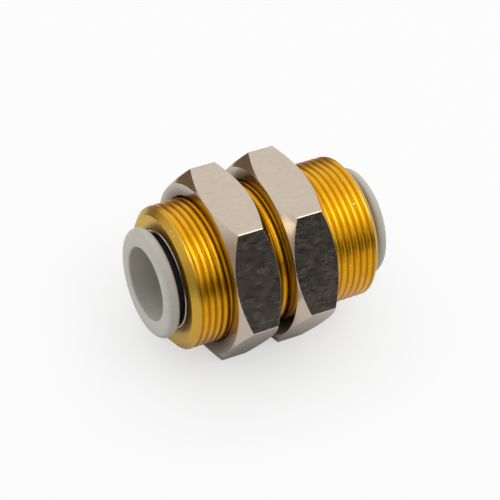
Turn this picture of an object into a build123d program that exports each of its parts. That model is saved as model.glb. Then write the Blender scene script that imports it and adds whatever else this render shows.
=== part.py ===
"""Push-in bulkhead union for 10 mm tube: a threaded brass barrel, two hex lock nuts and a
tube cartridge in each end.

Millimetres. The barrel lies along X with its middle at the origin, and +Z is up, square to a
pair of flats on both nuts. Each cartridge is modelled once, in the right-hand end (+X), and
mirrored into the left-hand end. Depths run outwards from the tube stop in the middle of the
barrel, and radii run outwards from the tube, so each piece takes its place from its neighbour.
"""
import os
from math import radians, tan

from build123d import *

# The tube and the bore that holds its end
tube_diameter = 10.0
tube_clearance = 0.10
passage_diameter = 8.0
stop_thickness = 2.0
pilot_length = 3.75
pilot_lead_in = 0.30

# Seal ring
seal_width = 2.20
seal_wall = 1.30
seal_lip_bite = 0.12
seal_groove_depth = 0.70
seal_groove_width = 0.60
seal_corner = 0.25
seal_clearance = 0.02

# Chuck: a spring-steel ring with claws that lean in towards the tube stop
chuck_thickness = 0.30
claw_count = 12
claw_angle = 50.0
claw_slot_width = 0.60
claw_bite = 0.12
claw_seal_clearance = 0.15
chuck_seat_width = 0.60
chuck_clearance = 0.05

# Collet: the slotted ring that backs the chuck
collet_length = 1.40
collet_slot_count = 6
collet_slot_width = 0.80
collet_slot_depth = 0.80
collet_chamfer = 0.25

# Guide ring: the pressed metal ring that shows in the mouth
guide_length = 4.30
guide_wall = 0.50
guide_lip_thickness = 0.60
guide_lip_recess = 1.20
guide_rim_wall = 0.40
guide_edge_radius = 0.10
guide_recess = 0.05
guide_press_clearance = 0.02

# Release button: a flanged sleeve with a snap-in barb
button_bore_clearance = 0.15
button_wall = 0.95
button_running_clearance = 0.10
release_travel = 0.80
flange_clearance = 0.15
flange_thickness = 1.50
flange_overhang = 1.60
flange_front_radius = 0.85
flange_back_radius = 0.50
button_mouth_radius = 0.30
barb_height = 0.25
barb_length = 1.00
barb_clearance = 0.13
barb_end_clearance = 0.10
nose_taper_length = 0.80
nose_taper_depth = 0.45
nose_claw_clearance = 0.12
button_slit_count = 4
button_slit_width = 0.70

# Barrel, and the grooves that stand for its thread
body_wall = 3.0
thread_pitch = 1.0
thread_depth = 0.30
thread_groove_width = 0.55
end_chamfer_length = 0.85
end_chamfer_depth = 1.00
mouth_chamfer = 0.40

# Lock nuts, and the panel gap between them
nut_wall = 2.0
nut_thickness = 6.40
nut_face_inset = 0.05
nut_chamfer_angle = 36.0
nut_countersink = 0.30
nut_thread_clearance = 0.05
panel_gap = 2.40
panel_offset = -1.26

# Radii, from the tube outwards
tube_radius = tube_diameter / 2
pilot_radius = tube_radius + tube_clearance
button_bore_radius = tube_radius + button_bore_clearance
button_stem_radius = button_bore_radius + button_wall
guide_lip_radius = button_stem_radius + button_running_clearance
barb_radius = button_stem_radius + barb_height
guide_inner_radius = barb_radius + barb_clearance
guide_outer_radius = guide_inner_radius + guide_wall
guide_rim_radius = guide_outer_radius - guide_rim_wall
mouth_radius = guide_outer_radius + guide_press_clearance
thread_radius = mouth_radius + body_wall
chamber_radius = mouth_radius - chuck_seat_width
flange_radius = button_stem_radius + flange_overhang
nut_bore_radius = thread_radius + nut_thread_clearance
nut_flat_radius = thread_radius + nut_wall

# Depths, from the tube stop outwards
claw_root_radius = guide_lip_radius
claw_tip_radius = tube_radius - claw_bite
claw_slope = tan(radians(claw_angle))
claw_reach = (claw_root_radius - claw_tip_radius) / claw_slope
seal_start = stop_thickness / 2 + pilot_length
seal_end = seal_start + seal_width
chuck_seat = seal_end + claw_seal_clearance + claw_reach
chuck_front = chuck_seat + chuck_thickness
collet_end = chuck_front + collet_length
guide_end = collet_end + guide_length
body_end = guide_end + guide_recess
flange_back = body_end + release_travel + flange_clearance
flange_front = flange_back + flange_thickness
guide_lip_front = guide_end - guide_lip_recess
guide_lip_back = guide_lip_front - guide_lip_thickness
barb_front = guide_lip_back - barb_end_clearance
nose_tip_radius = button_stem_radius - nose_taper_depth
claw_front_at_nose = chuck_front - (claw_root_radius - nose_tip_radius) / claw_slope
button_nose = claw_front_at_nose + nose_claw_clearance + release_travel


def turned(points):
    """A solid turned about the X axis from an outline of (depth, radius) points."""
    outline = Polyline(*[(x, r) for x, r in points], close=True)
    return revolve(make_face(outline), Axis.X)


def rim(solid, depth, radius):
    """The round edge of a turned solid at this depth and radius."""
    def distance(edge):
        return abs(edge.center().X - depth) + abs(edge.radius - radius)
    return min(solid.edges().filter_by(GeomType.CIRCLE), key=distance)


def slots(count, width, outer_radius, start, end):
    """Radial slots through a ring's wall, spread evenly about X, from one depth to another."""
    slot = Pos((start + end) / 2, 0, outer_radius / 2) * Box(end - start, width, outer_radius)
    turn = 360 / count
    return [Rot(turn * index, 0, 0) * slot for index in range(count)]


def make_body():
    """The barrel: one half turned from its section, grooves and all, then mirrored about the tube stop."""
    thread_end = body_end - end_chamfer_length
    groove_half = thread_groove_width / 2
    groove_count = int((thread_end - groove_half) / thread_pitch + 0.5)
    grooves = []
    for index in reversed(range(groove_count)):
        valley = (index + 0.5) * thread_pitch
        grooves += [
            (valley + groove_half, thread_radius),
            (valley, thread_radius - thread_depth),
            (valley - groove_half, thread_radius),
        ]
    half = turned([
        (0, passage_diameter / 2),
        (stop_thickness / 2, passage_diameter / 2),
        (stop_thickness / 2, pilot_radius),
        (seal_start - pilot_lead_in, pilot_radius),
        (seal_start, pilot_radius + pilot_lead_in),
        (seal_start, chamber_radius),
        (chuck_seat, chamber_radius),
        (chuck_seat, mouth_radius),
        (body_end - mouth_chamfer, mouth_radius),
        (body_end, mouth_radius + mouth_chamfer),
        (body_end, thread_radius - end_chamfer_depth),
        (thread_end, thread_radius),
        *grooves,
        (0, thread_radius),
    ])
    return half + mirror(half, Plane.YZ)


def make_nut(middle):
    """A hex lock nut: chamfered to a round face on both sides, with a countersunk thread hole."""
    half = nut_thickness / 2
    corner_radius = nut_flat_radius / tan(radians(60)) * 2
    face_radius = nut_flat_radius - nut_face_inset
    chamfer_depth = (corner_radius - face_radius) * tan(radians(nut_chamfer_angle))
    hexagon = RegularPolygon(nut_flat_radius, 6, major_radius=False)
    prism = Pos(-half, 0, 0) * extrude(Plane.YZ * hexagon, nut_thickness)
    blank = turned([
        (-half, nut_bore_radius + nut_countersink),
        (-half, face_radius),
        (chamfer_depth - half, corner_radius),
        (half - chamfer_depth, corner_radius),
        (half, face_radius),
        (half, nut_bore_radius + nut_countersink),
        (half - nut_countersink, nut_bore_radius),
        (nut_countersink - half, nut_bore_radius),
    ])
    return Pos(middle, 0, 0) * (prism & blank)


def make_seal():
    """The seal: a rubber ring with a rounded lip on the tube and a groove on its pressure side."""
    outer = chamber_radius - seal_clearance
    lip = tube_radius - seal_lip_bite
    inner = outer - seal_wall
    middle = (seal_start + seal_end) / 2
    groove = (outer + inner) / 2
    ring = turned([(seal_start, inner), (seal_start, outer), (seal_end, outer), (seal_end, inner)])
    bead = Pos(middle, 0, 0) * revolve(
        make_face([
            ThreePointArc((-seal_width / 2, inner), (0, lip), (seal_width / 2, inner)),
            Line((seal_width / 2, inner), (-seal_width / 2, inner)),
        ]),
        Axis.X,
    )
    cut = turned([
        (seal_start, groove - seal_groove_width / 2),
        (seal_start, groove + seal_groove_width / 2),
        (seal_start + seal_groove_depth, groove),
    ])
    seal = ring + bead - cut
    return fillet([rim(seal, seal_start, outer), rim(seal, seal_end, outer)], seal_corner)


def make_chuck():
    """The chuck: a flat rim clamped on the barrel's shoulder, with claws cut by slots."""
    rim_radius = mouth_radius - chuck_clearance
    ring = turned([
        (chuck_seat, claw_root_radius),
        (chuck_seat, rim_radius),
        (chuck_front, rim_radius),
        (chuck_front, claw_root_radius),
        (chuck_front - claw_reach, claw_tip_radius),
        (chuck_seat - claw_reach, claw_tip_radius),
    ])
    tip = chuck_seat - claw_reach
    gaps = slots(claw_count, claw_slot_width, claw_root_radius, tip, chuck_front)
    return ring - gaps


def make_collet():
    """The collet: a slotted ring between the chuck and the guide ring."""
    outer = mouth_radius - chuck_clearance
    ring = turned([
        (chuck_front, guide_lip_radius + collet_chamfer),
        (chuck_front, outer),
        (collet_end, outer),
        (collet_end, guide_lip_radius),
        (chuck_front + collet_chamfer, guide_lip_radius),
    ])
    end = chuck_front + collet_slot_depth
    return ring - slots(collet_slot_count, collet_slot_width, outer * 2, chuck_front, end)


def make_guide_ring():
    """The guide ring: a thin sleeve with a bright rim, and a lip behind it that holds the button's barb."""
    ring = turned([
        (collet_end, guide_inner_radius),
        (collet_end, guide_outer_radius),
        (guide_end, guide_outer_radius),
        (guide_end, guide_rim_radius),
        (guide_lip_front, guide_rim_radius),
        (guide_lip_front, guide_lip_radius),
        (guide_lip_back, guide_lip_radius),
        (guide_lip_back, guide_inner_radius),
    ])
    edges = [rim(ring, guide_end, guide_outer_radius), rim(ring, guide_end, guide_rim_radius)]
    return fillet(edges, guide_edge_radius)


def make_release_button():
    """The release button: a flange to press, and a slit sleeve with a barb behind the guide's lip."""
    barb_back = barb_front - barb_length
    sleeve = turned([
        (button_nose, button_bore_radius),
        (button_nose, nose_tip_radius),
        (button_nose + nose_taper_length, button_stem_radius),
        (barb_back, button_stem_radius),
        (barb_front, barb_radius),
        (barb_front, button_stem_radius),
        (flange_back, button_stem_radius),
        (flange_back, flange_radius),
        (flange_front, flange_radius),
        (flange_front, button_bore_radius),
    ])
    sleeve = fillet([rim(sleeve, flange_front, flange_radius)], flange_front_radius)
    sleeve = fillet([rim(sleeve, flange_back, flange_radius)], flange_back_radius)
    sleeve = fillet([rim(sleeve, flange_front, button_bore_radius)], button_mouth_radius)
    slits = slots(button_slit_count, button_slit_width, barb_radius * 2, button_nose, barb_front)
    return sleeve - slits


cartridge = {
    "release_button": make_release_button(),
    "guide_ring": make_guide_ring(),
    "collet": make_collet(),
    "chuck": make_chuck(),
    "seal": make_seal(),
}

nut_spacing = (panel_gap + nut_thickness) / 2
nodes = {
    "body": make_body(),
    "left_nut": make_nut(panel_offset - nut_spacing),
    "right_nut": make_nut(panel_offset + nut_spacing),
}
for name, piece in cartridge.items():
    nodes["right_" + name] = piece
    nodes["left_" + name] = mirror(piece, Plane.YZ)

os.makedirs("parts", exist_ok=True)
for name, piece in nodes.items():
    export_step(piece, f"parts/{name}.step")

print(f"thread diameter {2 * thread_radius:.2f}, across flats {2 * nut_flat_radius:.2f}")
print(f"body length {2 * body_end:.2f}, overall length {2 * flange_front:.2f}")
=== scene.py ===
# %% [markdown]
# # A push-in bulkhead union, dressed in Blender
# The fitting joins two 10 mm tubes through a panel. Its solids are already packed as a fixed
# frame: a brass barrel, two lock nuts, and in each end a release button, a guide ring, a collet,
# a chuck and a seal. This lesson gives each of them its finish, and the barrel its thread.
# We load the frame first, because every later size is read from it or set against it.

# %% Load the frame
from math import ceil, cos, pi, radians, sin, tan

import bmesh
import bpy
from mathutils import Matrix, Vector


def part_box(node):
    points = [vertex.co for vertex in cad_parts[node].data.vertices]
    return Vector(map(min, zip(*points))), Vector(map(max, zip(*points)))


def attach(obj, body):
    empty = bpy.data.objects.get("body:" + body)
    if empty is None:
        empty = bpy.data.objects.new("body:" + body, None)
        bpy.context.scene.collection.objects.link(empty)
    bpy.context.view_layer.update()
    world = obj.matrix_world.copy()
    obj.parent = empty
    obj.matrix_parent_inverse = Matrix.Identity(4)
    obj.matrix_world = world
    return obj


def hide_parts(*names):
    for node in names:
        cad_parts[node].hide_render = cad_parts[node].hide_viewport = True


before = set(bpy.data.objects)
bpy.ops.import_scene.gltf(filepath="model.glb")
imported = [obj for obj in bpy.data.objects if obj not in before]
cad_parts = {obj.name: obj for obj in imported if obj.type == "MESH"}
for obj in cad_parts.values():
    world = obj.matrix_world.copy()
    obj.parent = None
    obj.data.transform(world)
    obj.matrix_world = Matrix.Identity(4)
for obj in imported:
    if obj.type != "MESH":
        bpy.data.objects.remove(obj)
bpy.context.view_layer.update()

MM = 0.001
SIDES = {"left": -1, "right": 1}
scene = bpy.context.scene
print("nodes:", sorted(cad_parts))

# %% [markdown]
# ## The camera
# The photo was taken with a long lens from the front left, looking down at about 44 degrees, and
# the fitting's axis climbs to the right. We turn those three angles into the camera's own axes.
# A long lens keeps the near and far ends at almost the same scale, as they are in the photo.

# %% Camera at the photo's viewing angle
VIEW_AZIMUTH = radians(-33.17)
VIEW_ELEVATION = radians(44.13)
VIEW_ROLL = radians(7.62)
VIEW_DISTANCE = 277.5 * MM
VIEW_SHIFT_RIGHT = -0.682 * MM
VIEW_SHIFT_UP = 0.183 * MM
LENS_PER_SENSOR = 4.05
NEAR_CLIP = 10 * MM

towards_camera = Vector((
    sin(VIEW_AZIMUTH) * cos(VIEW_ELEVATION),
    -cos(VIEW_AZIMUTH) * cos(VIEW_ELEVATION),
    sin(VIEW_ELEVATION),
))
level_right = Vector((0, 0, 1)).cross(towards_camera).normalized()
level_up = towards_camera.cross(level_right)
camera_right = level_right * cos(VIEW_ROLL) + level_up * sin(VIEW_ROLL)
camera_up = level_up * cos(VIEW_ROLL) - level_right * sin(VIEW_ROLL)

camera = bpy.data.objects.new("camera", bpy.data.cameras.new("camera"))
camera.data.lens = LENS_PER_SENSOR * camera.data.sensor_width
camera.data.clip_start = NEAR_CLIP
camera.matrix_world = Matrix((camera_right, camera_up, towards_camera)).transposed().to_4x4()
camera.location = (
    towards_camera * VIEW_DISTANCE + camera_right * VIEW_SHIFT_RIGHT + camera_up * VIEW_SHIFT_UP
)
scene.collection.objects.link(camera)
scene.camera = camera
print("camera at", [round(value / MM, 1) for value in camera.location], "mm")

# %% [markdown]
# ## Small helpers for node trees
# Both the materials and the Geometry Nodes trees are built from script, so one helper adds a node,
# sets its options and fills its inputs. An input is either a plain value or another node's output.
# The other helpers shorten what recurs: a sum, a ramp from 0 to 1, and an empty node group.

# %% Node helpers
NUMBER = "NodeSocketFloat"
WHOLE_NUMBER = "NodeSocketInt"
GEOMETRY = "NodeSocketGeometry"
MATERIAL = "NodeSocketMaterial"


def node(tree, kind, inputs=None, **options):
    """Add one node to a tree. Inputs are given by name or number, as values or sockets."""
    made = tree.nodes.new(kind)
    for name, value in options.items():
        setattr(made, name, value)
    for key, value in (inputs or {}).items():
        if isinstance(value, bpy.types.NodeSocket):
            tree.links.new(value, made.inputs[key])
        else:
            made.inputs[key].default_value = value
    return made


def calc(tree, operation, *values):
    """One Math node, as its output socket."""
    return node(tree, "ShaderNodeMath", dict(enumerate(values)), operation=operation).outputs[0]


def ramp(tree, value, start, end, curve="LINEAR"):
    """A number that is 0 where a value is at its start, and 1 where it is at its end."""
    limits = {"Value": value, "From Min": start, "From Max": end}
    return node(tree, "ShaderNodeMapRange", limits, interpolation_type=curve).outputs["Result"]


def group_tree(name, kind, inputs, output):
    """An empty node group with named sockets: its tree, and its inputs as sockets."""
    tree = bpy.data.node_groups.new(name, kind)
    for label, socket_type, default in inputs:
        socket = tree.interface.new_socket(label, in_out="INPUT", socket_type=socket_type)
        if default is not None:
            socket.default_value = default
    label, socket_type = output
    tree.interface.new_socket(label, in_out="OUTPUT", socket_type=socket_type)
    return tree, tree.nodes.new("NodeGroupInput").outputs


# %% [markdown]
# ## Finishes shared by several materials
# Real metal and plastic are never one flat colour. Three effects recur on this fitting: the fine
# rings that a lathe leaves, the cloudy mottling of plated or moulded skin, and scattered specks.
# Each is a shader group that puts out a value from 0 to 1, and each material decides what to do
# with it. They read Object coordinates in millimetres, so a size here is a size on the part.

# %% Places on the part, in millimetres
def object_millimetres(tree):
    """Object coordinates, scaled so that one unit is a millimetre."""
    place = node(tree, "ShaderNodeTexCoord").outputs["Object"]
    scale = (1 / MM, 1 / MM, 1 / MM)
    return node(tree, "ShaderNodeMapping", {"Vector": place, "Scale": scale}).outputs["Vector"]


def x_of(tree, vector):
    """A vector's X, which runs along the fitting."""
    return node(tree, "ShaderNodeSeparateXYZ", {0: vector}).outputs["X"]


def multiplied(tree, place, factors):
    """A place with each of its coordinates multiplied."""
    inputs = {0: place, 1: factors}
    return node(tree, "ShaderNodeVectorMath", inputs, operation="MULTIPLY").outputs["Vector"]


def axis_distance(tree, place):
    """A place's distance from the X axis."""
    across = multiplied(tree, place, (0, 1, 1))
    return node(tree, "ShaderNodeVectorMath", {0: across}, operation="LENGTH").outputs["Value"]


# %% Lathe rings
RING_DETAIL = 3.0


def make_rings_group():
    """Lathe rings round X: noise that changes along the axis and with the radius only."""
    inputs = [("Rings per mm", NUMBER, 6.0)]
    tree, given = group_tree("lathe_rings", "ShaderNodeTree", inputs, ("Rings", NUMBER))
    place = object_millimetres(tree)
    path = calc(tree, "ADD", x_of(tree, place), axis_distance(tree, place))
    rings = calc(tree, "MULTIPLY", path, given["Rings per mm"])
    settings = {"W": rings, "Detail": RING_DETAIL}
    noise = node(tree, "ShaderNodeTexNoise", settings, noise_dimensions="1D")
    node(tree, "NodeGroupOutput", {"Rings": noise.outputs["Fac"]})
    return tree


RINGS = make_rings_group()
print("shader group", RINGS.name)

# %% Mottling
MOTTLE_ROUGHNESS = 0.62
MIDDLE = 0.5


def make_mottle_group():
    """Cloudy mottling with its own contrast, drawn out along X by a stretch."""
    inputs = [
        ("Size in mm", NUMBER, 1.0),
        ("Stretch", NUMBER, 1.0),
        ("Contrast", NUMBER, 1.0),
        ("Detail", NUMBER, 5.0),
    ]
    tree, given = group_tree("mottle", "ShaderNodeTree", inputs, ("Mottle", NUMBER))
    shorter = calc(tree, "DIVIDE", 1.0, given["Stretch"])
    squeeze = node(tree, "ShaderNodeCombineXYZ", {"X": shorter, "Y": 1.0, "Z": 1.0}).outputs[0]
    noise = node(tree, "ShaderNodeTexNoise", {
        "Vector": multiplied(tree, object_millimetres(tree), squeeze),
        "Scale": calc(tree, "DIVIDE", 1.0, given["Size in mm"]),
        "Detail": given["Detail"],
        "Roughness": MOTTLE_ROUGHNESS,
    })
    centred = calc(tree, "SUBTRACT", noise.outputs["Fac"], MIDDLE)
    spread = calc(tree, "MULTIPLY", centred, given["Contrast"])
    level = node(tree, "ShaderNodeMath", {0: spread, 1: MIDDLE}, operation="ADD", use_clamp=True)
    node(tree, "NodeGroupOutput", {"Mottle": level.outputs[0]})
    return tree


MOTTLE = make_mottle_group()
print("shader group", MOTTLE.name)

# %% Specks
def make_specks_group():
    """Small scattered specks: round dots in random cells, of which only a share is kept."""
    inputs = [
        ("Spacing in mm", NUMBER, 1.0),
        ("Radius", NUMBER, 0.2),
        ("Share", NUMBER, 0.3),
    ]
    tree, given = group_tree("specks", "ShaderNodeTree", inputs, ("Specks", NUMBER))
    cells = node(tree, "ShaderNodeTexVoronoi", {
        "Vector": object_millimetres(tree),
        "Scale": calc(tree, "DIVIDE", 1.0, given["Spacing in mm"]),
    }).outputs
    dot = ramp(tree, cells["Distance"], given["Radius"], 0.0, "SMOOTHSTEP")
    lottery = node(tree, "ShaderNodeSeparateColor", {0: cells["Color"]}).outputs[0]
    kept = calc(tree, "LESS_THAN", lottery, given["Share"])
    node(tree, "NodeGroupOutput", {"Specks": calc(tree, "MULTIPLY", dot, kept)})
    return tree


SPECKS = make_specks_group()
print("shader group", SPECKS.name)

# %% [markdown]
# ## Materials
# Every material has its own Principled shader. One helper places a shared group in a material,
# others mix two colours or numbers by a mask, and the last stacks bump layers. With them, each
# finish below reads as a short recipe.

# %% Material helpers
def new_material(name):
    """A node material with a Principled shader: (material, tree, shader)."""
    material = bpy.data.materials.new(name)
    material.use_nodes = True
    tree = material.node_tree
    return material, tree, tree.nodes["Principled BSDF"]


def shared(tree, group, **values):
    """The output of a shared group with its own values."""
    made = tree.nodes.new("ShaderNodeGroup")
    made.node_tree = group
    for name, value in values.items():
        made.inputs[name.replace("_", " ")].default_value = value
    return made.outputs[0]


def blend_colour(tree, mask, low, high):
    """A colour that goes from low to high with a mask."""
    mix = node(tree, "ShaderNodeMix", {"Factor": mask}, data_type="RGBA")
    for socket, colour in ((mix.inputs[6], low), (mix.inputs[7], high)):
        if isinstance(colour, bpy.types.NodeSocket):
            tree.links.new(colour, socket)
        else:
            socket.default_value = (*colour, 1.0)
    return mix.outputs[2]


def blend_value(tree, mask, low, high):
    """A number that goes from low to high with a mask."""
    limits = {"Value": mask, "To Min": low, "To Max": high}
    return node(tree, "ShaderNodeMapRange", limits).outputs["Result"]


def paint(tree, shader, colour, roughness):
    """Link a colour and a roughness to a shader."""
    tree.links.new(colour, shader.inputs["Base Color"])
    tree.links.new(roughness, shader.inputs["Roughness"])


def bumps(tree, shader, *layers):
    """Stack bump layers of (height, depth in mm) onto a shader's normal."""
    normal = None
    for height, depth in layers:
        inputs = {"Height": height, "Distance": depth * MM, "Strength": 1.0}
        if normal:
            inputs["Normal"] = normal
        normal = node(tree, "ShaderNodeBump", inputs).outputs["Normal"]
    tree.links.new(normal, shader.inputs["Normal"])


# %% [markdown]
# ## Bare brass
# The barrel is turned from brass bar and left bare: an oiled amber thread with valleys painted
# darker and redder as shade, a paler land at each end where the chamfer was cut last, and bright
# nicks from handling. Painted maps could show all that, but they would need unwrapping. The valleys
# are found by radius and the ends by place along X, so the colours stay true to the turned shape.

# %% Bare machined brass
barrel_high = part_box("body")[1]
BARREL_END = barrel_high.x / MM
THREAD_RADIUS = barrel_high.z / MM
THREAD_DEPTH = 0.10
VALLEY_TOP = THREAD_RADIUS - THREAD_DEPTH / 5
VALLEY_FLOOR = THREAD_RADIUS - THREAD_DEPTH
FRESH_LENGTH = 1.15
FRESH_START = BARREL_END - FRESH_LENGTH
FRESH_FADE = 0.2
STREAK_LIFT = 0.5
BRASS_DEEP = (0.74, 0.345, 0.006)
BRASS_LIGHT = (0.90, 0.475, 0.016)
BRASS_FRESH = (0.67, 0.41, 0.055)
# painted shade: the colour of the thread's valleys, darker and redder than the crests
BRASS_VALLEY_SHADE = (0.46, 0.16, 0.003)
BRASS_NICK = (0.95, 0.82, 0.50)
BRASS_ROUGHNESS = (0.26, 0.38)
RING_BUMP = 0.004
STREAK_BUMP = 0.008
WEAR_BUMP = 0.003
NICK_BUMP = 0.035


def make_brass():
    """Bare brass: an oiled amber thread, painted shade in its valleys, paler fresh-cut ends, lathe
    rings and bright nicks.
    """
    material, tree, shader = new_material("bare_brass")
    rings = shared(tree, RINGS, Rings_per_mm=7.0)
    streaks = shared(tree, RINGS, Rings_per_mm=2.6)
    clouds = shared(tree, MOTTLE, Size_in_mm=1.6, Contrast=2.2)
    wear = shared(tree, MOTTLE, Size_in_mm=0.5, Contrast=2.0, Detail=3.0)
    nicks = shared(tree, SPECKS, Spacing_in_mm=1.3, Radius=0.16, Share=0.3)
    place = object_millimetres(tree)
    from_middle = calc(tree, "ABSOLUTE", x_of(tree, place))
    ends = ramp(tree, from_middle, FRESH_START, FRESH_START + FRESH_FADE)
    valley_shade = ramp(tree, axis_distance(tree, place), VALLEY_TOP, VALLEY_FLOOR)
    stains = calc(tree, "MULTIPLY", clouds, calc(tree, "ADD", streaks, STREAK_LIFT))
    tone = blend_colour(tree, stains, BRASS_DEEP, BRASS_LIGHT)
    # painted shade: the thread's valleys are coloured darker and redder by their radius
    tone = blend_colour(tree, valley_shade, tone, BRASS_VALLEY_SHADE)
    tone = blend_colour(tree, ends, tone, BRASS_FRESH)
    tone = blend_colour(tree, nicks, tone, BRASS_NICK)
    paint(tree, shader, tone, blend_value(tree, wear, *BRASS_ROUGHNESS))
    shader.inputs["Metallic"].default_value = 1.0
    layers = ((rings, RING_BUMP), (streaks, STREAK_BUMP), (wear, WEAR_BUMP), (nicks, NICK_BUMP))
    bumps(tree, shader, *layers)
    return material


BRASS = make_brass()
print("made", BRASS.name)

# %% [markdown]
# ## Nickel plate
# The nuts are cut from drawn hex bar and plated. Their six flats keep the bar's grain, which runs
# along X, and their chamfers and faces were turned, so those carry lathe rings; next to the thread
# they are painted dark as shade. Two materials could do it, but a nut is one piece with one
# plating: one material tells a flat from a turned side by how far its normal leans towards X.

# %% Nickel plate over drawn bar
NICKEL_WARM = (0.64, 0.55, 0.445)
NICKEL_SHADE = (0.58, 0.495, 0.40)
NICKEL_FLECK = (0.50, 0.43, 0.345)
# painted shade: the turned sides are coloured dark next to the thread
NICKEL_THREAD_SHADE = (0.13, 0.10, 0.07)
THREAD_SHADE_REACH = 2.4
TURNED_FACING = 0.3
FLECK_STRENGTH = 0.5
FLAT_ROUGHNESS = (0.2, 0.29)
SIDE_ROUGHNESS = (0.13, 0.2)
NICKEL_BUMP = 0.0012


def make_nickel():
    """Nickel plate: drawn grain on the flats, fine rings and painted shade next to the thread on the
    turned sides.
    """
    material, tree, shader = new_material("nickel_plate")
    grain = shared(tree, MOTTLE, Size_in_mm=0.5, Stretch=2.6, Contrast=2.0, Detail=1.5)
    clouds = shared(tree, MOTTLE, Size_in_mm=3.5, Contrast=1.6)
    rings = shared(tree, RINGS, Rings_per_mm=5.0)
    from_axis = axis_distance(tree, object_millimetres(tree))
    thread_shade = ramp(tree, from_axis, THREAD_RADIUS + THREAD_SHADE_REACH, THREAD_RADIUS, "SMOOTHSTEP")
    facing = node(tree, "ShaderNodeTexCoord").outputs["Normal"]
    endwise = calc(tree, "ABSOLUTE", x_of(tree, facing))
    turned_side = calc(tree, "GREATER_THAN", endwise, TURNED_FACING)
    flecks = calc(tree, "MULTIPLY", grain, blend_value(tree, turned_side, FLECK_STRENGTH, 0.0))
    tone = blend_colour(tree, clouds, NICKEL_SHADE, NICKEL_WARM)
    tone = blend_colour(tree, flecks, tone, NICKEL_FLECK)
    # painted shade on the turned sides, fading out from the thread
    tone = blend_colour(tree, calc(tree, "MULTIPLY", thread_shade, turned_side), tone, NICKEL_THREAD_SHADE)
    drawn = blend_value(tree, grain, *FLAT_ROUGHNESS)
    lathed = blend_value(tree, rings, *SIDE_ROUGHNESS)
    paint(tree, shader, tone, blend_value(tree, turned_side, drawn, lathed))
    shader.inputs["Metallic"].default_value = 1.0
    bumps(tree, shader, (blend_value(tree, turned_side, grain, rings), NICKEL_BUMP))
    return material


NICKEL = make_nickel()
print("made", NICKEL.name)

# %% [markdown]
# ## Button plastic
# The release buttons are moulded in light grey plastic with a satin skin and a few dark specks.
# The stem behind the flange sits in a narrow gap and is painted near black as shade, which makes
# the black ring behind the flange. A second piece for the stem would split a single moulding, so
# the painted shade is a mask: behind the flange, and on the outer half of the stem's wall.

# %% Moulded button plastic
BUTTON_GREY = (0.53, 0.507, 0.44)
BUTTON_PALE = (0.59, 0.567, 0.50)
BUTTON_SPECK = (0.36, 0.34, 0.30)
# painted shade: the stem behind the flange is coloured near black
STEM_PAINTED_SHADE = (0.03, 0.029, 0.027)
STEM_INNER = 5.6
STEM_OUTER = 6.5
STEM_MARGIN = 0.05
BUTTON_ROUGHNESS = (0.38, 0.55)
BUTTON_BUMP = 0.004
FLANGE_THICKNESS = 1.5
button_low, button_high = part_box("right_release_button")
FLANGE_FRONT = button_high.x / MM
FLANGE_BACK = FLANGE_FRONT - FLANGE_THICKNESS


def make_button_plastic():
    """Light grey moulded plastic with a satin skin, a few darker specks and a stem painted near black
    as shade.
    """
    material, tree, shader = new_material("button_plastic")
    clouds = shared(tree, MOTTLE, Size_in_mm=2.4, Contrast=1.8)
    specks = shared(tree, SPECKS, Spacing_in_mm=1.1, Radius=0.14, Share=0.22)
    skin = shared(tree, MOTTLE, Size_in_mm=0.18, Contrast=1.5)
    place = object_millimetres(tree)
    radius = axis_distance(tree, place)
    from_middle = calc(tree, "ABSOLUTE", x_of(tree, place))
    behind = calc(tree, "LESS_THAN", from_middle, FLANGE_BACK + STEM_MARGIN)
    outside = calc(tree, "GREATER_THAN", radius, STEM_INNER)
    within = calc(tree, "LESS_THAN", radius, STEM_OUTER)
    stem = calc(tree, "MULTIPLY", behind, calc(tree, "MULTIPLY", outside, within))
    tone = blend_colour(tree, clouds, BUTTON_GREY, BUTTON_PALE)
    tone = blend_colour(tree, specks, tone, BUTTON_SPECK)
    # painted shade on the stem behind the flange
    tone = blend_colour(tree, stem, tone, STEM_PAINTED_SHADE)
    paint(tree, shader, tone, blend_value(tree, skin, *BUTTON_ROUGHNESS))
    bumps(tree, shader, (skin, BUTTON_BUMP))
    return material


BUTTON_PLASTIC = make_button_plastic()
print("made", BUTTON_PLASTIC.name)

# %% [markdown]
# ## Bright steel
# The guide rings and the chucks are pressed from thin bright steel. Fine rings from drawing give
# it a soft sheen. Inside the guide ring the steel is painted near black as shade, so that only
# its rim shines. One recipe serves both, and is told the radius inside which the shade is painted.

# %% Pressed steel
STEEL_GREY = (0.66, 0.63, 0.61)
STEEL_DARK = (0.50, 0.48, 0.455)
# painted shade: the colour of the steel inside the guide ring
STEEL_PAINTED_SHADE = (0.03, 0.028, 0.026)
STEEL_ROUGHNESS = (0.16, 0.32)
STEEL_BUMP = 0.003
GUIDE_SHADE_RADIUS = 6.55


def make_steel(name, shade_radius=0.0):
    """Bright pressed steel with a faint drawing grain, painted near black as shade inside a given
    radius.
    """
    material, tree, shader = new_material(name)
    rings = shared(tree, RINGS, Rings_per_mm=10.0)
    painted_shade_inside = calc(tree, "LESS_THAN", axis_distance(tree, object_millimetres(tree)), shade_radius)
    tone = blend_colour(tree, rings, STEEL_DARK, STEEL_GREY)
    # painted shade inside the given radius
    tone = blend_colour(tree, painted_shade_inside, tone, STEEL_PAINTED_SHADE)
    paint(tree, shader, tone, blend_value(tree, rings, *STEEL_ROUGHNESS))
    shader.inputs["Metallic"].default_value = 1.0
    bumps(tree, shader, (rings, STEEL_BUMP))
    return material


STEEL = make_steel("pressed_steel")
GUIDE_STEEL = make_steel("guide_steel", GUIDE_SHADE_RADIUS)
print("made", STEEL.name, "and", GUIDE_STEEL.name)

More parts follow.
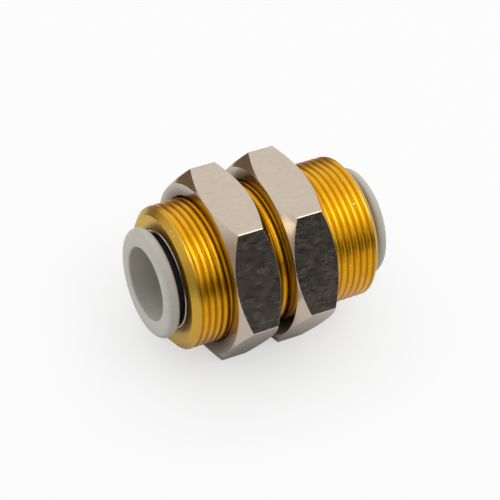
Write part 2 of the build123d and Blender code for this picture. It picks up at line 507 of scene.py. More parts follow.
# %% [markdown]
# ## Ivory plastic and black rubber
# The collets and seals lie deep inside and show only through the bores and slots. Plain colours
# would pass at that depth, but each still gets the soft unevenness of a moulding: the ivory
# plastic a cloudy tone, and the rubber the dusty bloom that it sweats out as it ages.

# %% Collet plastic
IVORY = (0.74, 0.71, 0.62)
IVORY_SHADE = (0.66, 0.63, 0.54)
IVORY_ROUGHNESS = (0.35, 0.5)
IVORY_BUMP = 0.004


def make_collet_plastic():
    """Ivory moulded plastic."""
    material, tree, shader = new_material("collet_plastic")
    clouds = shared(tree, MOTTLE, Size_in_mm=1.2, Contrast=1.8)
    tone = blend_colour(tree, clouds, IVORY_SHADE, IVORY)
    paint(tree, shader, tone, blend_value(tree, clouds, *IVORY_ROUGHNESS))
    bumps(tree, shader, (clouds, IVORY_BUMP))
    return material


COLLET_PLASTIC = make_collet_plastic()
print("made", COLLET_PLASTIC.name)

# %% Seal rubber
RUBBER_BLACK = (0.016, 0.016, 0.017)
RUBBER_DUST = (0.05, 0.05, 0.05)
RUBBER_ROUGHNESS = (0.42, 0.65)
RUBBER_BUMP = 0.006


def make_rubber():
    """Black seal rubber with a dusty bloom."""
    material, tree, shader = new_material("seal_rubber")
    bloom = shared(tree, MOTTLE, Size_in_mm=0.7, Contrast=2.5)
    tone = blend_colour(tree, bloom, RUBBER_BLACK, RUBBER_DUST)
    paint(tree, shader, tone, blend_value(tree, bloom, *RUBBER_ROUGHNESS))
    bumps(tree, shader, (bloom, RUBBER_BUMP))
    return material


RUBBER = make_rubber()
print("made", RUBBER.name)

# %% [markdown]
# ## Turned shapes
# Almost every piece here was turned or moulded round one axis. We draw its outline as (x, radius)
# corners with a rounding at each, and sweep that outline round X. A rounding of even a twentieth
# of a millimetre matters: a real edge catches a thin line of light, and a sharp one never does.

# %% Outlines with rounded corners
ARC_STEPS = 4


def rounded(corners):
    """An outline of (x, radius) points from (x, radius, rounding) corners, in millimetres."""
    points = []
    for index, (x, r, rounding) in enumerate(corners):
        corner = Vector((x, r))
        if rounding == 0:
            points.append(corner)
            continue
        back = (Vector(corners[index - 1][:2]) - corner).normalized()
        ahead = (Vector(corners[(index + 1) % len(corners)][:2]) - corner).normalized()
        half = back.angle(ahead) / 2
        centre = corner + (back + ahead).normalized() * rounding / sin(half)
        start = corner + back * rounding / tan(half) - centre
        end = corner + ahead * rounding / tan(half) - centre
        turn = start.angle_signed(end)
        for step in range(ARC_STEPS + 1):
            spoke = start.copy()
            spoke.rotate(Matrix.Rotation(-turn * step / ARC_STEPS, 2))
            points.append(centre + spoke)
    return [(point.x, point.y) for point in points]


# %% Clean meshes, and outlines swept round the axis
MERGE_DISTANCE = 0.0005 * MM
SLIVER_LENGTH = 0.0002 * MM
SMOOTH_UP_TO = radians(35)
SEGMENTS = 192


def tidy_mesh(mesh):
    """Merge doubles, turn faces outwards, and shade smooth up to a sharp edge."""
    work = bmesh.new()
    work.from_mesh(mesh)
    bmesh.ops.remove_doubles(work, verts=work.verts, dist=MERGE_DISTANCE)
    bmesh.ops.dissolve_degenerate(work, edges=work.edges, dist=SLIVER_LENGTH)
    bmesh.ops.recalc_face_normals(work, faces=work.faces)
    work.to_mesh(mesh)
    work.free()
    mesh.shade_smooth()
    mesh.set_sharp_from_angle(angle=SMOOTH_UP_TO)


def mesh_object(name, vertices, faces):
    """A new mesh object from vertices in millimetres, with its faces turned outwards."""
    mesh = bpy.data.meshes.new(name)
    mesh.from_pydata([Vector(v) * MM for v in vertices], [], faces)
    made = bpy.data.objects.new(name, mesh)
    scene.collection.objects.link(made)
    tidy_mesh(mesh)
    return made


def turned(name, outline, closed=True):
    """Sweep an outline of (x, radius) points round the X axis."""
    count = len(outline)
    vertices = []
    for column in range(SEGMENTS):
        angle = 2 * pi * column / SEGMENTS
        vertices += [(x, r * cos(angle), r * sin(angle)) for x, r in outline]
    rows = range(count if closed else count - 1)
    faces = []
    for column in range(SEGMENTS):
        here = column * count
        there = (column + 1) % SEGMENTS * count
        for row in rows:
            after = (row + 1) % count
            faces.append((here + row, here + after, there + after, there + row))
    return mesh_object(name, vertices, faces)


# %% Plain meshes, tied to the frame
def apply_modifiers(piece):
    """Turn a piece's live modifiers into its plain mesh."""
    depsgraph = bpy.context.evaluated_depsgraph_get()
    old = piece.data
    piece.data = bpy.data.meshes.new_from_object(piece.evaluated_get(depsgraph))
    piece.modifiers.clear()
    piece.data.name = piece.name
    bpy.data.meshes.remove(old)
    return piece


def run_tree(piece, tree, **values):
    """Run a Geometry Nodes tree on a piece with these inputs, and keep the result as its mesh."""
    modifier = piece.modifiers.new(tree.name, "NODES")
    modifier.node_group = tree
    for item in tree.interface.items_tree:
        key = item.name.replace(" ", "_")
        if key in values:
            modifier[item.identifier] = values[key]
    return apply_modifiers(piece)


def dress(piece, material, body, node_name):
    """Give a finished piece its material, and tie it to the frame."""
    piece.data.materials.clear()
    piece.data.materials.append(material)
    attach(piece, body)
    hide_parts(node_name)
    print(f"{piece.name}: {len(piece.data.polygons)} faces, for {node_name}")


# %% [markdown]
# ## The threaded barrel
# The barrel is one turned piece of brass with a 1 mm pitch thread along its whole length. A thread
# could be faked with bump, but its outline and its dark valleys show in the photo, so it is built.
# A Geometry Nodes tree does it by a rule: take a flat grid, wrap it round X, slide each row along
# by one pitch a turn, and pull the radius in and out with the row's place in the pitch. Rows then
# follow the crest exactly. The end chamfers come from a plain minimum: nothing may stand outside
# the chamfer's cone, which is how a lathe makes the run-out of a real thread.

# %% Thread tree
THREAD_WELD = 0.001 * MM


def make_thread_tree():
    """A grid wrapped round X into a helical thread, chamfered at both ends."""
    inputs = [
        ("Geometry", GEOMETRY, None),
        ("Radius", NUMBER, 10 * MM),
        ("Pitch", NUMBER, 1 * MM),
        ("Depth", NUMBER, 0.5 * MM),
        ("Half Length", NUMBER, 14 * MM),
        ("Chamfer Length", NUMBER, 1 * MM),
        ("Chamfer Depth", NUMBER, 1 * MM),
        ("Root Share", NUMBER, 0.0),
        ("Crest Share", NUMBER, 0.15),
        ("Phase", NUMBER, 0.96),
        ("Turns", WHOLE_NUMBER, 30),
        ("Rows per Turn", WHOLE_NUMBER, 12),
        ("Segments", WHOLE_NUMBER, SEGMENTS),
        ("Material", MATERIAL, None),
    ]
    tree, given = group_tree("helical_thread", "GeometryNodeTree", inputs, ("Geometry", GEOMETRY))
    rows = calc(tree, "ADD", calc(tree, "MULTIPLY", given["Turns"], given["Rows per Turn"]), 1.0)
    columns = calc(tree, "ADD", given["Segments"], 1.0)
    grid = node(tree, "GeometryNodeMeshGrid", {
        "Size X": 1.0, "Size Y": 1.0, "Vertices X": rows, "Vertices Y": columns,
    }).outputs["Mesh"]
    position = node(tree, "GeometryNodeInputPosition").outputs[0]
    flat = node(tree, "ShaderNodeSeparateXYZ", {0: position}).outputs
    # the grid runs from -0.5 to 0.5 both ways: Y makes one turn, and X takes in all the pitches
    turn = calc(tree, "MULTIPLY", calc(tree, "ADD", flat["Y"], 0.5), 2 * pi)
    pitches = calc(tree, "MULTIPLY", flat["X"], given["Turns"])
    advance = calc(tree, "ADD", flat["Y"], given["Phase"])
    free_x = calc(tree, "MULTIPLY", calc(tree, "ADD", pitches, advance), given["Pitch"])
    x = calc(tree, "MINIMUM", free_x, given["Half Length"])
    x = calc(tree, "MAXIMUM", x, calc(tree, "MULTIPLY", given["Half Length"], -1.0))
    # the row's place in its pitch, as a wave that is 0 in the root and 1 on the crest
    wave = calc(tree, "PINGPONG", calc(tree, "MULTIPLY", pitches, 2.0), 1.0)
    crest = calc(tree, "SUBTRACT", 1.0, given["Crest Share"])
    height = ramp(tree, wave, given["Root Share"], crest, "SMOOTHSTEP")
    below = calc(tree, "MULTIPLY", calc(tree, "SUBTRACT", 1.0, height), given["Depth"])
    thread = calc(tree, "SUBTRACT", given["Radius"], below)
    # the chamfer's cone, which nothing may stand outside
    start = calc(tree, "SUBTRACT", given["Half Length"], given["Chamfer Length"])
    past = calc(tree, "MAXIMUM", calc(tree, "SUBTRACT", calc(tree, "ABSOLUTE", x), start), 0.0)
    slope = calc(tree, "DIVIDE", given["Chamfer Depth"], given["Chamfer Length"])
    cone = calc(tree, "SUBTRACT", given["Radius"], calc(tree, "MULTIPLY", past, slope))
    radius = calc(tree, "MINIMUM", thread, cone)
    place = node(tree, "ShaderNodeCombineXYZ", {
        "X": x,
        "Y": calc(tree, "MULTIPLY", radius, calc(tree, "COSINE", turn)),
        "Z": calc(tree, "MULTIPLY", radius, calc(tree, "SINE", turn)),
    }).outputs[0]
    skin = node(tree, "GeometryNodeSetPosition", {"Geometry": grid, "Position": place}).outputs[0]
    both = node(tree, "GeometryNodeJoinGeometry")
    tree.links.new(given["Geometry"], both.inputs[0])
    tree.links.new(skin, both.inputs[0])
    welded = {"Geometry": both.outputs[0], "Distance": THREAD_WELD}
    closed = node(tree, "GeometryNodeMergeByDistance", welded).outputs[0]
    real = node(tree, "GeometryNodeRealizeInstances", {"Geometry": closed}).outputs[0]
    finish = {"Geometry": real, "Material": given["Material"]}
    done = node(tree, "GeometryNodeSetMaterial", finish).outputs[0]
    node(tree, "NodeGroupOutput", {"Geometry": done})
    return tree


THREAD_TREE = make_thread_tree()
print("thread tree with", len(THREAD_TREE.nodes), "nodes")

# %% Barrel
THREAD_PITCH = 1.0
SPARE_TURNS = 3
END_CHAMFER_LENGTH = 0.85
END_CHAMFER_DEPTH = 1.0
MOUTH_CHAMFER = 0.4
MOUTH_RADIUS = 7.0
CHAMBER_RADIUS = 6.4
PILOT_RADIUS = 5.1
PASSAGE_RADIUS = 4.0
STOP_HALF = 1.0
STOP_EDGE = 0.1
PILOT_END = 4.75
PILOT_LEAD_IN = 0.3
BORE_EDGE = 0.05
CHUCK_THICKNESS = 0.3
chuck_low, chuck_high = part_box("right_chuck")
CHUCK_FRONT = chuck_high.x / MM
CHUCK_SEAT = CHUCK_FRONT - CHUCK_THICKNESS


def make_barrel():
    """The barrel: its bores turned in one end and mirrored, then the thread wrapped round it."""
    half = rounded([
        (0, PASSAGE_RADIUS, 0),
        (STOP_HALF, PASSAGE_RADIUS, STOP_EDGE),
        (STOP_HALF, PILOT_RADIUS, 0),
        (PILOT_END - PILOT_LEAD_IN, PILOT_RADIUS, 0),
        (PILOT_END, PILOT_RADIUS + PILOT_LEAD_IN, BORE_EDGE),
        (PILOT_END, CHAMBER_RADIUS, 0),
        (CHUCK_SEAT, CHAMBER_RADIUS, BORE_EDGE),
        (CHUCK_SEAT, MOUTH_RADIUS, 0),
        (BARREL_END - MOUTH_CHAMFER, MOUTH_RADIUS, 0),
        (BARREL_END, MOUTH_RADIUS + MOUTH_CHAMFER, BORE_EDGE),
        (BARREL_END, THREAD_RADIUS - END_CHAMFER_DEPTH, 0),
    ])
    outline = [(-x, r) for x, r in reversed(half[1:])] + half
    barrel = turned("threaded_barrel", outline, closed=False)
    run_tree(
        barrel,
        THREAD_TREE,
        Radius=THREAD_RADIUS * MM,
        Pitch=THREAD_PITCH * MM,
        Depth=THREAD_DEPTH * MM,
        Half_Length=BARREL_END * MM,
        Chamfer_Length=END_CHAMFER_LENGTH * MM,
        Chamfer_Depth=END_CHAMFER_DEPTH * MM,
        Turns=ceil(2 * BARREL_END / THREAD_PITCH) + SPARE_TURNS,
        Material=BRASS,
    )
    tidy_mesh(barrel.data)
    return barrel


dress(make_barrel(), BRASS, "barrel", "body")

# %% [markdown]
# ## The lock nuts
# A lock nut is hex bar, chamfered on both sides so that its round face bears on the panel. Cut by
# the chamfer's cone, each flat ends in a curve that dips at the corners. A hexagon could be cut
# by a cone with Booleans, but that leaves long thin faces. Instead we write the wall's radius as
# a function of the angle over one sixth of the nut, and a second Geometry Nodes tree repeats that
# sixth round X. A bevel rounds the edges: those of the hex corners make the white glints.

# %% Polar repeat tree
COPY_WELD = 0.002 * MM


def make_polar_tree():
    """Copies of a piece spread evenly round the X axis, merged where they meet."""
    inputs = [
        ("Geometry", GEOMETRY, None),
        ("Count", WHOLE_NUMBER, 6),
        ("Material", MATERIAL, None),
    ]
    tree, given = group_tree("around_the_axis", "GeometryNodeTree", inputs, ("Geometry", GEOMETRY))
    points = node(tree, "GeometryNodePoints", {"Count": given["Count"]}).outputs[0]
    index = node(tree, "GeometryNodeInputIndex").outputs[0]
    turn = calc(tree, "MULTIPLY", calc(tree, "DIVIDE", index, given["Count"]), 2 * pi)
    copies = node(tree, "GeometryNodeInstanceOnPoints", {
        "Points": points,
        "Instance": given["Geometry"],
        "Rotation": node(tree, "ShaderNodeCombineXYZ", {"X": turn}).outputs[0],
    }).outputs[0]
    real = node(tree, "GeometryNodeRealizeInstances", {"Geometry": copies}).outputs[0]
    welded = {"Geometry": real, "Distance": COPY_WELD}
    closed = node(tree, "GeometryNodeMergeByDistance", welded).outputs[0]
    finish = {"Geometry": closed, "Material": given["Material"]}
    done = node(tree, "GeometryNodeSetMaterial", finish).outputs[0]
    node(tree, "NodeGroupOutput", {"Geometry": done})
    return tree


POLAR_TREE = make_polar_tree()
print("polar tree with", len(POLAR_TREE.nodes), "nodes")

# %% Bevelled edges of a nut
NUT_EDGE = 0.16
NUT_FINE_EDGE = 0.025
NUT_EDGE_STEPS = 3
NUT_SHARP = radians(20)
LENGTHWISE_SHARE = 0.9


def weigh_edges(mesh):
    """Mark a nut's sharp edges for its bevel: the hex corners fully, and the turned edges finely."""
    work = bmesh.new()
    work.from_mesh(mesh)
    weight = work.edges.layers.float.new("bevel_weight_edge")
    for edge in work.edges:
        if edge.calc_face_angle(0) > NUT_SHARP:
            run = edge.verts[0].co - edge.verts[1].co
            lengthwise = abs(run.x) > LENGTHWISE_SHARE * run.length
            edge[weight] = 1.0 if lengthwise else NUT_FINE_EDGE / NUT_EDGE
    work.to_mesh(mesh)
    work.free()


def bevel_edges(nut):
    """Round a nut's marked edges, and keep the result as its mesh."""
    weigh_edges(nut.data)
    bevel = nut.modifiers.new("edges", "BEVEL")
    bevel.width = NUT_EDGE * MM
    bevel.segments = NUT_EDGE_STEPS
    bevel.limit_method = "WEIGHT"
    bevel.harden_normals = True
    return apply_modifiers(nut)


# %% Nuts
NUT_SIDES = 6
NUT_STEPS = 16
NUT_FACE_INSET = 0.05
NUT_CHAMFER_ANGLE = radians(36)
NUT_COUNTERSINK = 0.3
NUT_BORE_RADIUS = 10.05


def make_nut(side):
    """A chamfered hex nut, from one sixth repeated round the axis."""
    low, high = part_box(f"{side}_nut")
    middle = (low.x + high.x) / 2 / MM
    half = (high.x - low.x) / 2 / MM
    flat = high.z / MM
    face = flat - NUT_FACE_INSET
    mouth = NUT_BORE_RADIUS + NUT_COUNTERSINK
    sector = 2 * pi / NUT_SIDES
    vertices = []
    for column in range(NUT_STEPS + 1):
        angle = sector * column / NUT_STEPS
        wall = flat / cos(angle - sector / 2)
        shoulder = half - (wall - face) * tan(NUT_CHAMFER_ANGLE)
        outline = [
            (-half, mouth), (-half, face), (-shoulder, wall), (shoulder, wall),
            (half, face), (half, mouth),
            (half - NUT_COUNTERSINK, NUT_BORE_RADIUS), (NUT_COUNTERSINK - half, NUT_BORE_RADIUS),
        ]
        vertices += [(middle + x, r * cos(angle), r * sin(angle)) for x, r in outline]
    rows = len(outline)
    faces = []
    for column in range(NUT_STEPS):
        here = column * rows
        for row in range(rows):
            after = (row + 1) % rows
            faces.append((here + row, here + after, here + rows + after, here + rows + row))
    nut = mesh_object(f"{side}_lock_nut", vertices, faces)
    run_tree(nut, POLAR_TREE, Count=NUT_SIDES, Material=NICKEL)
    tidy_mesh(nut.data)
    return bevel_edges(nut)


for side in SIDES:
    dress(make_nut(side), NICKEL, f"{side}_lock_nut", f"{side}_nut")

# %% [markdown]
# ## The tube cartridge in each end
# Behind the grey release button sit a bright guide ring, a slotted collet, a steel chuck with claws
# and a rubber seal. They are turned here for the right-hand end and mirrored for the left, as the
# frame has them. Slots are cut the way a slitting saw would: a cutter, repeated round the axis by
# the same tree, is taken away from the turned ring.

# %% Slots and mirroring
CUTTER_FLOOR = 0.5
CUT_PAST = 1.0


def slotted(piece, count, width, start, end, radius):
    """Cut evenly spaced slots through a ring, from one depth to another."""
    half = width / 2
    corners = [
        (x, y, z) for x in (start, end) for y in (-half, half) for z in (CUTTER_FLOOR, radius)
    ]
    sides = [(0, 1, 3, 2), (4, 6, 7, 5), (0, 4, 5, 1), (2, 3, 7, 6), (0, 2, 6, 4), (1, 5, 7, 3)]
    cutter = mesh_object("slot_cutter", corners, sides)
    run_tree(cutter, POLAR_TREE, Count=count)
    cut = piece.modifiers.new("slots", "BOOLEAN")
    cut.object = cutter
    cut.solver = "EXACT"
    apply_modifiers(piece)
    bpy.data.objects.remove(cutter)
    tidy_mesh(piece.data)
    return piece


def put_in_both_ends(make, material, name, moving_body=None):
    """Make a piece for the right-hand end and its mirror image for the left."""
    for side, sign in SIDES.items():
        piece = make()
        piece.name = f"{side}_{name}_piece"
        piece.data.name = piece.name
        if sign < 0:
            piece.data.transform(Matrix.Scale(-1, 4, (1, 0, 0)))
            piece.data.flip_normals()
        body = f"{side}_{moving_body}" if moving_body else "barrel"
        dress(piece, material, body, f"{side}_{name}")


# %% [markdown]
# ## Release buttons
# The button is a moulded sleeve with a round flange to press on. Its nose opens the claws, and a
# barb behind the guide ring's lip keeps it from falling out. Four slits let that barb spring in.
# A subdivided cylinder would round every corner alike, so the outline names each rounding: large
# on the flange, small at the mouth, and almost none on the barb.

# %% Release buttons
FLANGE_RADIUS = button_high.z / MM
FLANGE_BACK_EDGE = 0.5
FLANGE_FRONT_EDGE = 0.85
BUTTON_MOUTH_EDGE = 0.3
BUTTON_NOSE = button_low.x / MM
BUTTON_BORE = 5.15
BUTTON_STEM = 6.1
BUTTON_EDGE = 0.08
NOSE_TAPER_LENGTH = 0.8
NOSE_TAPER_DEPTH = 0.45
NOSE_TAPER_EDGE = 0.1
GUIDE_LIP_RECESS = 1.2
GUIDE_LIP_THICKNESS = 0.6
BARB_GAP = 0.1
BARB_LENGTH = 1.0
BARB_HEIGHT = 0.25
BARB_EDGE = 0.04
SLIT_COUNT = 4
SLIT_WIDTH = 0.7
guide_low, guide_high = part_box("right_guide_ring")
GUIDE_END = guide_high.x / MM
GUIDE_LIP_FRONT = GUIDE_END - GUIDE_LIP_RECESS
GUIDE_LIP_BACK = GUIDE_LIP_FRONT - GUIDE_LIP_THICKNESS
BARB_FRONT = GUIDE_LIP_BACK - BARB_GAP


def make_button():
    """A flanged sleeve: rounded flange, barb, tapered nose and the slits that let the barb snap in."""
    sleeve = turned("button", rounded([
        (BUTTON_NOSE, BUTTON_BORE, BUTTON_EDGE),
        (BUTTON_NOSE, BUTTON_STEM - NOSE_TAPER_DEPTH, BUTTON_EDGE),
        (BUTTON_NOSE + NOSE_TAPER_LENGTH, BUTTON_STEM, NOSE_TAPER_EDGE),
        (BARB_FRONT - BARB_LENGTH, BUTTON_STEM, 0),
        (BARB_FRONT, BUTTON_STEM + BARB_HEIGHT, BARB_EDGE),
        (BARB_FRONT, BUTTON_STEM, 0),
        (FLANGE_BACK, BUTTON_STEM, BUTTON_EDGE),
        (FLANGE_BACK, FLANGE_RADIUS, FLANGE_BACK_EDGE),
        (FLANGE_FRONT, FLANGE_RADIUS, FLANGE_FRONT_EDGE),
        (FLANGE_FRONT, BUTTON_BORE, BUTTON_MOUTH_EDGE),
    ]))
    start = BUTTON_NOSE - CUT_PAST
    return slotted(sleeve, SLIT_COUNT, SLIT_WIDTH, start, BARB_FRONT, BUTTON_STEM + CUT_PAST)


put_in_both_ends(make_button, BUTTON_PLASTIC, "release_button", "button")

# %% [markdown]
# ## Guide rings
# The guide ring is a thin steel sleeve pressed into the barrel's mouth. In the photo it is only a
# silver line behind the flange. That line could be a painted stripe, but it is the rim's outer
# rounding that catches the light, so that rounding is turned, and the line holds from every side.

# %% Guide rings
GUIDE_BACK = guide_low.x / MM
GUIDE_RADIUS = guide_high.z / MM
GUIDE_RIM_WALL = 0.4
GUIDE_RIM = GUIDE_RADIUS - GUIDE_RIM_WALL
GUIDE_RIM_OUTER_EDGE = 0.26
GUIDE_RIM_INNER_EDGE = 0.1
GUIDE_EDGE = 0.05
GUIDE_INNER = 6.48
GUIDE_BORE = 6.2


def make_guide():
    """A thin pressed sleeve: a bright rim in the barrel's mouth, and a lip behind it for the barb."""
    return turned("guide", rounded([
        (GUIDE_BACK, GUIDE_INNER, GUIDE_EDGE),
        (GUIDE_BACK, GUIDE_RADIUS, GUIDE_EDGE),
        (GUIDE_END, GUIDE_RADIUS, GUIDE_RIM_OUTER_EDGE),
        (GUIDE_END, GUIDE_RIM, GUIDE_RIM_INNER_EDGE),
        (GUIDE_LIP_FRONT, GUIDE_RIM, GUIDE_EDGE),
        (GUIDE_LIP_FRONT, GUIDE_BORE, GUIDE_EDGE),
        (GUIDE_LIP_BACK, GUIDE_BORE, GUIDE_EDGE),
        (GUIDE_LIP_BACK, GUIDE_INNER, GUIDE_EDGE),
    ]))


put_in_both_ends(make_guide, GUIDE_STEEL, "guide_ring")

# %% [markdown]
# ## Collets
# The collet is a plastic ring that backs the chuck and leaves its claws room to swing. Its six
# slots let it give a little as it is pressed in. It could be one sixth repeated, as a nut is, but
# it is a plain ring with slots, so it is turned and slotted like the button. The chamfer beside
# the chuck is simply two more corners of its outline.

# %% Collets
COLLET_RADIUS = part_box("right_collet")[1].z / MM
COLLET_CHAMFER = 0.25
COLLET_CHAMFER_EDGE = 0.04
COLLET_EDGE = 0.06
COLLET_SLOT_COUNT = 6
COLLET_SLOT_WIDTH = 0.8
COLLET_SLOT_DEPTH = 0.8


def make_collet():
    """A slotted ring that backs the chuck."""
    ring = turned("collet", rounded([
        (CHUCK_FRONT, GUIDE_BORE + COLLET_CHAMFER, COLLET_CHAMFER_EDGE),
        (CHUCK_FRONT, COLLET_RADIUS, COLLET_EDGE),
        (GUIDE_BACK, COLLET_RADIUS, COLLET_EDGE),
        (GUIDE_BACK, GUIDE_BORE, COLLET_EDGE),
        (CHUCK_FRONT + COLLET_CHAMFER, GUIDE_BORE, COLLET_CHAMFER_EDGE),
    ]))
    start = CHUCK_FRONT - CUT_PAST
    end = CHUCK_FRONT + COLLET_SLOT_DEPTH
    return slotted(ring, COLLET_SLOT_COUNT, COLLET_SLOT_WIDTH, start, end, COLLET_RADIUS + CUT_PAST)


put_in_both_ends(make_collet, COLLET_PLASTIC, "collet")

# %% [markdown]
# ## Chucks
# The chuck is a spring-steel ring whose twelve claws lean in towards the tube stop, so that a tube
# slides in but can't be pulled out. Claws could be modelled one by one and repeated, but such a
# ring is a slotted cone, and it is made that way here too.

# %% Chucks
CHUCK_RADIUS = chuck_high.z / MM
CHUCK_EDGE = 0.06
CLAW_EDGE = 0.03
CLAW_TIP = 4.88
CLAW_REACH = CHUCK_SEAT - chuck_low.x / MM
CLAW_COUNT = 12
CLAW_SLOT_WIDTH = 0.6


def make_chuck():
    """A flat rim with claws that lean in towards the tube stop."""
    ring = turned("chuck", rounded([
        (CHUCK_SEAT, GUIDE_BORE, CLAW_EDGE),
        (CHUCK_SEAT, CHUCK_RADIUS, CHUCK_EDGE),
        (CHUCK_FRONT, CHUCK_RADIUS, CHUCK_EDGE),
        (CHUCK_FRONT, GUIDE_BORE, CLAW_EDGE),
        (CHUCK_FRONT - CLAW_REACH, CLAW_TIP, CLAW_EDGE),
        (CHUCK_SEAT - CLAW_REACH, CLAW_TIP, CLAW_EDGE),
    ]))
    start = CHUCK_SEAT - CLAW_REACH - CUT_PAST
    end = CHUCK_FRONT + CUT_PAST
    return slotted(ring, CLAW_COUNT, CLAW_SLOT_WIDTH, start, end, GUIDE_BORE)


put_in_both_ends(make_chuck, STEEL, "chuck")

# %% [markdown]
# ## Seals
# The seal is a rubber ring with a rounded lip that presses on the tube, and a groove in the side
# that faces the tube stop, where pressure spreads it against the barrel. The lip is a true arc,
# worked out from its width and its rise, and joins the rounded outline of the rest.

# %% Seals
seal_low, seal_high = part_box("right_seal")
SEAL_START = seal_low.x / MM
SEAL_END = seal_high.x / MM
SEAL_RADIUS = seal_high.z / MM
SEAL_WALL = 1.3
SEAL_INNER = SEAL_RADIUS - SEAL_WALL
SEAL_LIP = 4.88
SEAL_EDGE = 0.25
SEAL_GROOVE_HALF = 0.3
SEAL_GROOVE_DEPTH = 0.7
SEAL_GROOVE_EDGE = 0.05
LIP_STEPS = 16


def make_seal():
    """A rubber ring: a rounded lip on the tube, and a groove in its pressure side."""
    half = (SEAL_END - SEAL_START) / 2
    rise = SEAL_INNER - SEAL_LIP
    arc_radius = (half * half + rise * rise) / (2 * rise)
    lip = []
    for step in range(1, LIP_STEPS):
        x = half - 2 * half * step / LIP_STEPS
        depth = (arc_radius ** 2 - x * x) ** 0.5 - (arc_radius - rise)
        lip.append((SEAL_START + half + x, SEAL_INNER - depth))
    groove = (SEAL_RADIUS + SEAL_INNER) / 2
    outline = rounded([
        (SEAL_START, SEAL_INNER, 0),
        (SEAL_START, groove - SEAL_GROOVE_HALF, 0),
        (SEAL_START + SEAL_GROOVE_DEPTH, groove, SEAL_GROOVE_EDGE),
        (SEAL_START, groove + SEAL_GROOVE_HALF, 0),
        (SEAL_START, SEAL_RADIUS, SEAL_EDGE),
        (SEAL_END, SEAL_RADIUS, SEAL_EDGE),
        (SEAL_END, SEAL_INNER, 0),
    ])
    return turned("seal", outline + lip)


put_in_both_ends(make_seal, RUBBER, "seal")

# %% [markdown]
# ## The floor
# The photo's ground is plain white. More light would bleach the fitting too, so the floor itself
# is mixed with plain white for the rays that see it: the camera's, and those mirrored in metal or
# passed through glass. Where the fitting shades it, less white is mixed in, so a soft shadow stays.

# %% Pale floor
FLOOR_HALF = 3.0
FLOOR_COLOUR = (0.60, 0.60, 0.59, 1.0)
FLOOR_ROUGHNESS = 0.9
FLOOR_WHITE_SHARE = 0.94
FLOOR_IN_METAL = 0.6
CONTACT_SHADOW = 18.0
CONTACT_DEPTH = 0.45
MIRRORED_SHADOW = 7.0
MIRRORED_CONTRAST = 2.0
WHITE = (1.0, 1.0, 1.0, 1.0)
FLOOR_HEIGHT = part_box("left_nut")[0].z / MM


def seen_directly(tree, in_view=1.0, in_metal=1.0):
    """Its own level for camera and transmission rays and for glossy ones, and 0 for the rest."""
    path = node(tree, "ShaderNodeLightPath").outputs
    direct = calc(tree, "MAXIMUM", path["Is Camera Ray"], path["Is Transmission Ray"])
    viewed = calc(tree, "MULTIPLY", direct, in_view)
    mirrored = calc(tree, "MULTIPLY", path["Is Glossy Ray"], in_metal)
    return calc(tree, "MAXIMUM", viewed, mirrored)


def openness(tree, distance):
    """How open a place is to its surroundings, up to a distance in millimetres."""
    return node(tree, "ShaderNodeAmbientOcclusion", {"Distance": distance * MM}).outputs["AO"]


def make_floor():
    """A large pale floor at the height of the nuts' lower flats."""
    half = FLOOR_HALF / MM
    plan = [(-half, -half), (half, -half), (half, half), (-half, half)]
    corners = [(x, y, FLOOR_HEIGHT) for x, y in plan]
    floor = mesh_object("floor", corners, [(0, 1, 2, 3)])
    material, tree, shader = new_material("pale_floor")
    shader.inputs["Base Color"].default_value = FLOOR_COLOUR
    shader.inputs["Roughness"].default_value = FLOOR_ROUGHNESS
    shader.inputs["Specular IOR Level"].default_value = 0.0
    glow = node(tree, "ShaderNodeEmission", {"Color": WHITE, "Strength": 1.0})
    shaded_white = FLOOR_WHITE_SHARE * (1 - CONTACT_DEPTH)
    viewed = blend_value(tree, openness(tree, CONTACT_SHADOW), shaded_white, FLOOR_WHITE_SHARE)
    darkened = calc(tree, "POWER", openness(tree, MIRRORED_SHADOW), MIRRORED_CONTRAST)
    share = seen_directly(tree, viewed, calc(tree, "MULTIPLY", darkened, FLOOR_IN_METAL))
    mix = node(tree, "ShaderNodeMixShader", {0: share, 1: shader.outputs[0], 2: glow.outputs[0]})
    tree.links.new(mix.outputs[0], tree.nodes["Material Output"].inputs["Surface"])
    floor.data.materials.append(material)
    return floor


print("stage:", make_floor().name)

# %% [markdown]
# ## Cards for the metal to mirror
# Polished metal shows what stands round it, and in the photo that is not all white: the nuts' front
# flats and a band on the thread are almost black, and the chamfers at the back are brown. As in a
# photo studio, curved cards stand round the fitting. Only reflections see them, so they take no
# light away and cast no shadow.

# %% Curved cards
FLAG_STEPS = 24
FLAG_BLACK = (0.005, 0.007, 0.009, 1.0)
FLAG_DARK = (0.016, 0.015, 0.014, 1.0)
FLAG_BROWN = (0.20, 0.14, 0.09, 1.0)
FLAG_MIDDLE = (0.42, 0.36, 0.30, 1.0)


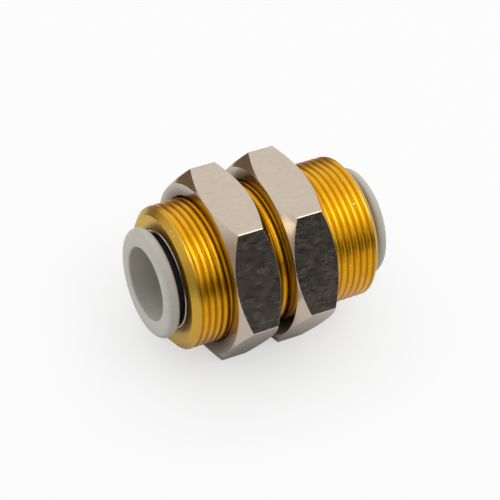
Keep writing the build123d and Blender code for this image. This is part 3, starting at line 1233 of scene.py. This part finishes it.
def make_flag(name, colour, distance, height, start, end):
    """A curved card on the floor round the fitting: sizes in millimetres, its ends in degrees."""
    vertices = []
    for step in range(FLAG_STEPS + 1):
        angle = radians(start + (end - start) * step / FLAG_STEPS)
        x = distance * sin(angle)
        y = -distance * cos(angle)
        vertices += [(x, y, FLOOR_HEIGHT), (x, y, FLOOR_HEIGHT + height)]
    faces = [(2 * i, 2 * i + 1, 2 * i + 3, 2 * i + 2) for i in range(FLAG_STEPS)]
    flag = mesh_object(name, vertices, faces)
    material, tree, _ = new_material(name)
    # each card glows with its own colour instead of being lit: a painted reflection for the metal
    glow = node(tree, "ShaderNodeEmission", {"Color": colour, "Strength": 1.0})
    tree.links.new(glow.outputs[0], tree.nodes["Material Output"].inputs["Surface"])
    flag.data.materials.append(material)
    flag.visible_camera = False
    flag.visible_diffuse = False
    flag.visible_shadow = False
    print(f"{name}: {distance} mm away, {height} mm high")


make_flag("front_flag", FLAG_BLACK, distance=600, height=325, start=-10, end=54)
make_flag("back_flag", FLAG_BROWN, distance=60, height=30, start=130, end=224)
make_flag("left_flag", FLAG_MIDDLE, distance=80, height=37, start=-135, end=-70)
make_flag("camera_side_flag", FLAG_DARK, distance=300, height=640, start=-68, end=-22)

# %% [markdown]
# ## Lamps and world
# The photo has soft light from all round. One lamp would draw hard shadows that aren't there, so
# three square lamps and a pale room light the fitting. Only the overhead lamp is mirrored in the
# metal, where it makes the bright band along the thread. The room is white where a ray sees it
# directly.

# %% Lamps and world
ROOM_LIGHT = 0.5


def softbox(name, place, size, power, mirrored):
    """A square area lamp in metres and watts that faces the fitting, mirrored in its metal or not."""
    lamp = bpy.data.lights.new(name, "AREA")
    lamp.size = size
    lamp.energy = power
    holder = bpy.data.objects.new(name, lamp)
    holder.location = place
    holder.rotation_euler = Vector(place).to_track_quat("Z", "Y").to_euler()
    holder.visible_glossy = mirrored
    scene.collection.objects.link(holder)


softbox("overhead_softbox", (0.30, -0.22, 0.65), size=0.45, power=1.2, mirrored=True)
softbox("left_softbox", (-0.65, 0.45, 0.20), size=0.5, power=2.4, mirrored=False)
softbox("right_softbox", (0.65, 0.40, 0.55), size=0.5, power=2.5, mirrored=False)

world = bpy.data.worlds.new("studio")
scene.world = world
world.use_nodes = True
room = world.node_tree
brightness = blend_value(room, seen_directly(room), ROOM_LIGHT, 1.0)
backdrop = room.nodes["Background"]
backdrop.inputs["Color"].default_value = WHITE
room.links.new(brightness, backdrop.inputs["Strength"])
scene.view_settings.view_transform = "Standard"
print("lit by", [lamp.name for lamp in bpy.data.lights])
